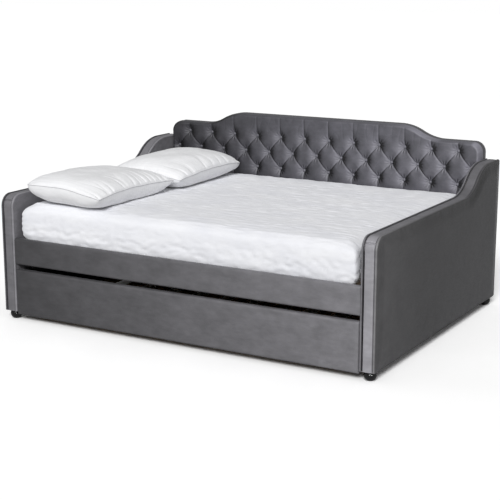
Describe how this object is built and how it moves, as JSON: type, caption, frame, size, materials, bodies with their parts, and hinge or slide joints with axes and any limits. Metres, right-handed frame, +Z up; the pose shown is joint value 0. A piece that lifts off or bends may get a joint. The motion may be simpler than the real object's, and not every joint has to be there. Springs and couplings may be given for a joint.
{
  "type": "daybed",
  "caption": "Upholstered daybed with a camelback diamond-tufted back, ogee arms, a roll-out trundle, a quilted mattress and pillows.",
  "frame": {"origin": "on the floor, under the middle of the bed", "axes": "+X along the bed to the right as seen from the front, +Y from the front to the back, +Z up"},
  "size_m": [2.28, 1.677, 1.032],
  "materials": {
    "velvet": "short-pile slate grey velvet",
    "timber": "sawn pine and plywood",
    "gloss_black": "gloss",
    "black_steel": "satin black powder coat",
    "zinc_steel": "zinc plated",
    "wheel_plastic": "matte",
    "webbing": "woven tape",
    "mattress_ticking": "white quilted knit",
    "pillow_cotton": "white satin-stripe cotton"
  },
  "bodies": {
    "frame": {"back_board": "timber", "back_bottom_rail": "timber", "back_edge_strip": "velvet", "back_left_post": "timber", "back_middle_rail": "timber", "back_piping": "velvet", "back_rear_cover": "velvet", "back_right_post": "timber", "back_top_rail": "timber", "back_tufted_pad": "velvet", "beam_brackets": "black_steel", "bed_bolts": "zinc_steel", "bed_slats": "timber", "corner_brackets": "black_steel", "foot_bolts": "zinc_steel", "front_left_foot": "gloss_black", "front_rail_board": "timber", "front_rail_pad": "velvet", "front_right_foot": "gloss_black", "front_slat_ledger": "timber", "front_support_beam": "black_steel", "left_arm_bottom_rail": "timber", "left_arm_edge_strip": "velvet", "left_arm_front_post": "timber", "left_arm_inner_pad": "velvet", "left_arm_outer_pad": "velvet", "left_arm_rear_post": "timber", "left_arm_top_rail": "timber", "rear_left_foot": "gloss_black", "rear_right_foot": "gloss_black", "rear_slat_ledger": "timber", "rear_support_beam": "black_steel", "right_arm_bottom_rail": "timber", "right_arm_edge_strip": "velvet", "right_arm_front_post": "timber", "right_arm_inner_pad": "velvet", "right_arm_outer_pad": "velvet", "right_arm_rear_post": "timber", "right_arm_top_rail": "timber", "slat_straps": "webbing", "support_beam_legs": "black_steel", "tuft_buttons": "velvet"},
    "trundle": {"trundle_front_pad": "velvet", "trundle_front_board": "timber", "trundle_left_side": "timber", "trundle_right_side": "timber", "trundle_rear_board": "timber", "trundle_ledgers": "timber", "trundle_slats": "timber", "trundle_wheel_forks": "black_steel", "trundle_axles": "zinc_steel"},
    "wheel_front_left": {"trundle_wheel_front_left": "wheel_plastic"},
    "wheel_rear_left": {"trundle_wheel_rear_left": "wheel_plastic"},
    "wheel_front_right": {"trundle_wheel_front_right": "wheel_plastic"},
    "wheel_rear_right": {"trundle_wheel_rear_right": "wheel_plastic"},
    "mattress": {"mattress": "mattress_ticking"},
    "front_pillow": {"front_pillow": "pillow_cotton"},
    "rear_pillow": {"rear_pillow": "pillow_cotton"}
  },
  "joints": [
    {"name": "trundle_slide", "type": "slide", "parent": "frame", "child": "trundle", "axis": [0, -1, 0], "range_m": [0, 1.05]},
    {"name": "wheel_front_left_spin", "type": "hinge", "parent": "trundle", "child": "wheel_front_left", "pos_m": [-0.93, -0.7075, 0.028], "axis": [1, 0, 0], "continuous": true},
    {"name": "wheel_rear_left_spin", "type": "hinge", "parent": "trundle", "child": "wheel_rear_left", "pos_m": [-0.93, 0.1565, 0.028], "axis": [1, 0, 0], "continuous": true},
    {"name": "wheel_front_right_spin", "type": "hinge", "parent": "trundle", "child": "wheel_front_right", "pos_m": [0.93, -0.7075, 0.028], "axis": [1, 0, 0], "continuous": true},
    {"name": "wheel_rear_right_spin", "type": "hinge", "parent": "trundle", "child": "wheel_rear_right", "pos_m": [0.93, 0.1565, 0.028], "axis": [1, 0, 0], "continuous": true},
    {"name": "mattress_lift", "type": "slide", "parent": "frame", "child": "mattress", "axis": [0, 0, 1], "range_m": [0, 0.6]},
    {"name": "front_pillow_lift", "type": "slide", "parent": "mattress", "child": "front_pillow", "axis": [0, 0, 1], "range_m": [0, 0.4]},
    {"name": "rear_pillow_lift", "type": "slide", "parent": "mattress", "child": "rear_pillow", "axis": [0, 0, 1], "range_m": [0, 0.4]}
  ],
  "couplings": [
    {"joint": "wheel_front_left_spin", "follows": "trundle_slide", "rad_per_m": 35.714},
    {"joint": "wheel_rear_left_spin", "follows": "trundle_slide", "rad_per_m": 35.714},
    {"joint": "wheel_front_right_spin", "follows": "trundle_slide", "rad_per_m": 35.714},
    {"joint": "wheel_rear_right_spin", "follows": "trundle_slide", "rad_per_m": 35.714}
  ]
}
